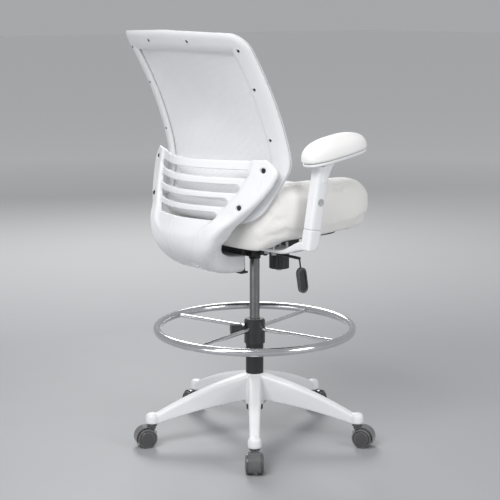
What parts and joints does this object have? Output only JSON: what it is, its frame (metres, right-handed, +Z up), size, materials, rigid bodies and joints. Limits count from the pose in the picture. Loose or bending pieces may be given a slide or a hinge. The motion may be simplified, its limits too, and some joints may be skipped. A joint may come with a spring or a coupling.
{
  "type": "drafting chair",
  "caption": "Tall swivel drafting chair with a mesh back on a slotted spine shell, padded seat, height-adjustable arms, foot ring, gas lift and star base on twin-wheel casters.",
  "frame": {"origin": "on the floor, on the axis of the column", "axes": "+Z up along the column, +Y forward, +X to the sitter's right"},
  "size_m": [0.6743, 0.6736, 1.1487],
  "materials": {
    "base_white": "satin moulded nylon",
    "column_black": "satin black paint",
    "bush_plastic": "matte",
    "steel": "zinc plated",
    "rod_chrome": "ground and plated",
    "tube_gray": "satin gray paint",
    "brass_pin": "turned",
    "ring_chrome": "polished",
    "hub_black": "satin moulded",
    "knob_black": "satin moulded",
    "housing_black": "powder coat",
    "spring_steel": "oiled",
    "lever_black": "satin",
    "paddle_black": "gloss",
    "plywood": "raw plywood",
    "seat_vinyl": "smooth vinyl",
    "shell_white": "satin moulded",
    "frame_white": "satin moulded",
    "mesh_white": "woven mesh",
    "screw_steel": "black oxide",
    "arm_white": "satin moulded",
    "pad_white": "smooth self-skinned foam",
    "button_gray": "matte",
    "hood_gray": "gloss",
    "wheel_gray": "satin"
  },
  "bodies": {
    "base": {"base_star": "base_white", "column_tube": "column_black", "guide_bush": "bush_plastic", "column_clip": "steel"},
    "rod": {"piston_rod": "rod_chrome", "thrust_bearing": "steel"},
    "lift": {"pressure_tube": "tube_gray", "mech_housing": "housing_black", "tilt_pin": "steel", "tilt_spring": "spring_steel"},
    "release": {"release_pin": "brass_pin"},
    "seat": {"seat_plate": "housing_black", "seat_board": "plywood", "seat_cushion": "seat_vinyl", "back_bracket": "housing_black", "back_shell": "shell_white", "back_frame": "frame_white", "back_mesh": "mesh_white", "mesh_bezel": "frame_white", "frame_screws": "screw_steel", "shell_bolts": "screw_steel", "seat_bolts": "steel", "arm_bracket_right": "arm_white", "arm_bracket_left": "arm_white"},
    "knob": {"tension_knob": "knob_black", "tension_bolt": "steel"},
    "lock": {"lock_sleeve": "knob_black"},
    "lever": {"lever_rod": "lever_black", "lever_paddle": "paddle_black"},
    "footrest": {"foot_ring": "ring_chrome", "ring_spokes": "ring_chrome", "ring_hub": "hub_black"},
    "clamp": {"clamp_knob": "knob_black"},
    "arm_right": {"arm_sleeve_right": "arm_white", "arm_pad_right": "pad_white"},
    "button_right": {"arm_button_right": "button_gray"},
    "arm_left": {"arm_sleeve_left": "arm_white", "arm_pad_left": "pad_white"},
    "button_left": {"arm_button_left": "button_gray"},
    "caster_1": {"caster_hood_1": "hood_gray", "caster_pins_1": "steel"},
    "wheel_1a": {"caster_wheel_1a": "wheel_gray"},
    "wheel_1b": {"caster_wheel_1b": "wheel_gray"},
    "caster_2": {"caster_hood_2": "hood_gray", "caster_pins_2": "steel"},
    "wheel_2a": {"caster_wheel_2a": "wheel_gray"},
    "wheel_2b": {"caster_wheel_2b": "wheel_gray"},
    "caster_3": {"caster_hood_3": "hood_gray", "caster_pins_3": "steel"},
    "wheel_3a": {"caster_wheel_3a": "wheel_gray"},
    "wheel_3b": {"caster_wheel_3b": "wheel_gray"},
    "caster_4": {"caster_hood_4": "hood_gray", "caster_pins_4": "steel"},
    "wheel_4a": {"caster_wheel_4a": "wheel_gray"},
    "wheel_4b": {"caster_wheel_4b": "wheel_gray"},
    "caster_5": {"caster_hood_5": "hood_gray", "caster_pins_5": "steel"},
    "wheel_5a": {"caster_wheel_5a": "wheel_gray"},
    "wheel_5b": {"caster_wheel_5b": "wheel_gray"}
  },
  "joints": [
    {"name": "seat_swivel", "type": "hinge", "parent": "base", "child": "rod", "pos_m": [0, 0, 0.08], "axis": [0, 0, 1], "continuous": true},
    {"name": "seat_height", "type": "slide", "parent": "rod", "child": "lift", "axis": [0, 0, 1], "range_m": [-0.125, 0.07]},
    {"name": "valve_press", "type": "slide", "parent": "lift", "child": "release", "axis": [0, 0, -1], "range_m": [0, 0.0044]},
    {"name": "tilt", "type": "hinge", "parent": "lift", "child": "seat", "pos_m": [0, -0.03, 0.56], "axis": [1, 0, 0], "range_deg": [0, 12], "stiffness_Nm_per_rad": 120, "springref_deg": -11.46, "deforming": ["tilt_spring"]},
    {"name": "tension_turn", "type": "hinge", "parent": "seat", "child": "knob", "pos_m": [0, 0.091, 0.5], "axis": [0, 0, 1], "range_deg": [0, 720]},
    {"name": "tilt_lock", "type": "slide", "parent": "lift", "child": "lock", "axis": [1, 0, 0], "range_m": [-0.012, 0]},
    {"name": "lever_lift", "type": "hinge", "parent": "lock", "child": "lever", "pos_m": [0.1, -0.012, 0.546], "axis": [-1, 0, 0], "range_deg": [0, 18], "stiffness_Nm_per_rad": 2, "springref_deg": -11.46},
    {"name": "ring_slide", "type": "slide", "parent": "base", "child": "footrest", "axis": [0, 0, 1], "range_m": [-0.083, 0]},
    {"name": "clamp_turn", "type": "hinge", "parent": "footrest", "child": "clamp", "pos_m": [0, 0, 0.313], "axis": [-0.5, -0.866, 0], "range_deg": [0, 360]},
    {"name": "arm_height_right", "type": "slide", "parent": "seat", "child": "arm_right", "axis": [0, 0.1771, 0.9842], "range_m": [0, 0.07]},
    {"name": "button_press_right", "type": "slide", "parent": "arm_right", "child": "button_right", "axis": [-1, 0, 0], "range_m": [0, 0.002], "stiffness_N_per_m": 600, "springref_m": -0.001},
    {"name": "arm_height_left", "type": "slide", "parent": "seat", "child": "arm_left", "axis": [0, 0.1771, 0.9842], "range_m": [0, 0.07]},
    {"name": "button_press_left", "type": "slide", "parent": "arm_left", "child": "button_left", "axis": [1, 0, 0], "range_m": [0, 0.002], "stiffness_N_per_m": 600, "springref_m": -0.001},
    {"name": "caster_swivel_1", "type": "hinge", "parent": "base", "child": "caster_1", "pos_m": [0.22981, -0.19284, 0.06], "axis": [0, 0, 1], "continuous": true},
    {"name": "wheel_spin_1a", "type": "hinge", "parent": "caster_1", "child": "wheel_1a", "pos_m": [0.2436, -0.20441, 0.0275], "axis": [0.6428, 0.766, 0], "continuous": true},
    {"name": "wheel_spin_1b", "type": "hinge", "parent": "caster_1", "child": "wheel_1b", "pos_m": [0.2436, -0.20441, 0.0275], "axis": [0.6428, 0.766, 0], "continuous": true},
    {"name": "caster_swivel_2", "type": "hinge", "parent": "base", "child": "caster_2", "pos_m": [0.25441, 0.15898, 0.06], "axis": [0, 0, 1], "continuous": true},
    {"name": "wheel_spin_2a", "type": "hinge", "parent": "caster_2", "child": "wheel_2a", "pos_m": [0.26968, 0.16851, 0.0275], "axis": [-0.5299, 0.848, 0], "continuous": true},
    {"name": "wheel_spin_2b", "type": "hinge", "parent": "caster_2", "child": "wheel_2b", "pos_m": [0.26968, 0.16851, 0.0275], "axis": [-0.5299, 0.848, 0], "continuous": true},
    {"name": "caster_swivel_3", "type": "hinge", "parent": "base", "child": "caster_3", "pos_m": [-0.07258, 0.29109, 0.06], "axis": [0, 0, 1], "continuous": true},
    {"name": "wheel_spin_3a", "type": "hinge", "parent": "caster_3", "child": "wheel_3a", "pos_m": [-0.07693, 0.30855, 0.0275], "axis": [-0.9703, -0.2419, 0], "continuous": true},
    {"name": "wheel_spin_3b", "type": "hinge", "parent": "caster_3", "child": "wheel_3b", "pos_m": [-0.07693, 0.30855, 0.0275], "axis": [-0.9703, -0.2419, 0], "continuous": true},
    {"name": "caster_swivel_4", "type": "hinge", "parent": "base", "child": "caster_4", "pos_m": [-0.29927, 0.02093, 0.06], "axis": [0, 0, 1], "continuous": true},
    {"name": "wheel_spin_4a", "type": "hinge", "parent": "caster_4", "child": "wheel_4a", "pos_m": [-0.31722, 0.02218, 0.0275], "axis": [-0.0698, -0.9976, 0], "continuous": true},
    {"name": "wheel_spin_4b", "type": "hinge", "parent": "caster_4", "child": "wheel_4b", "pos_m": [-0.31722, 0.02218, 0.0275], "axis": [-0.0698, -0.9976, 0], "continuous": true},
    {"name": "caster_swivel_5", "type": "hinge", "parent": "base", "child": "caster_5", "pos_m": [-0.11238, -0.27815, 0.06], "axis": [0, 0, 1], "continuous": true},
    {"name": "wheel_spin_5a", "type": "hinge", "parent": "caster_5", "child": "wheel_5a", "pos_m": [-0.11912, -0.29484, 0.0275], "axis": [0.9272, -0.3746, 0], "continuous": true},
    {"name": "wheel_spin_5b", "type": "hinge", "parent": "caster_5", "child": "wheel_5b", "pos_m": [-0.11912, -0.29484, 0.0275], "axis": [0.9272, -0.3746, 0], "continuous": true}
  ],
  "couplings": [
    {"joint": "valve_press", "follows": "lever_lift", "m_per_rad": 0.0136}
  ]
}
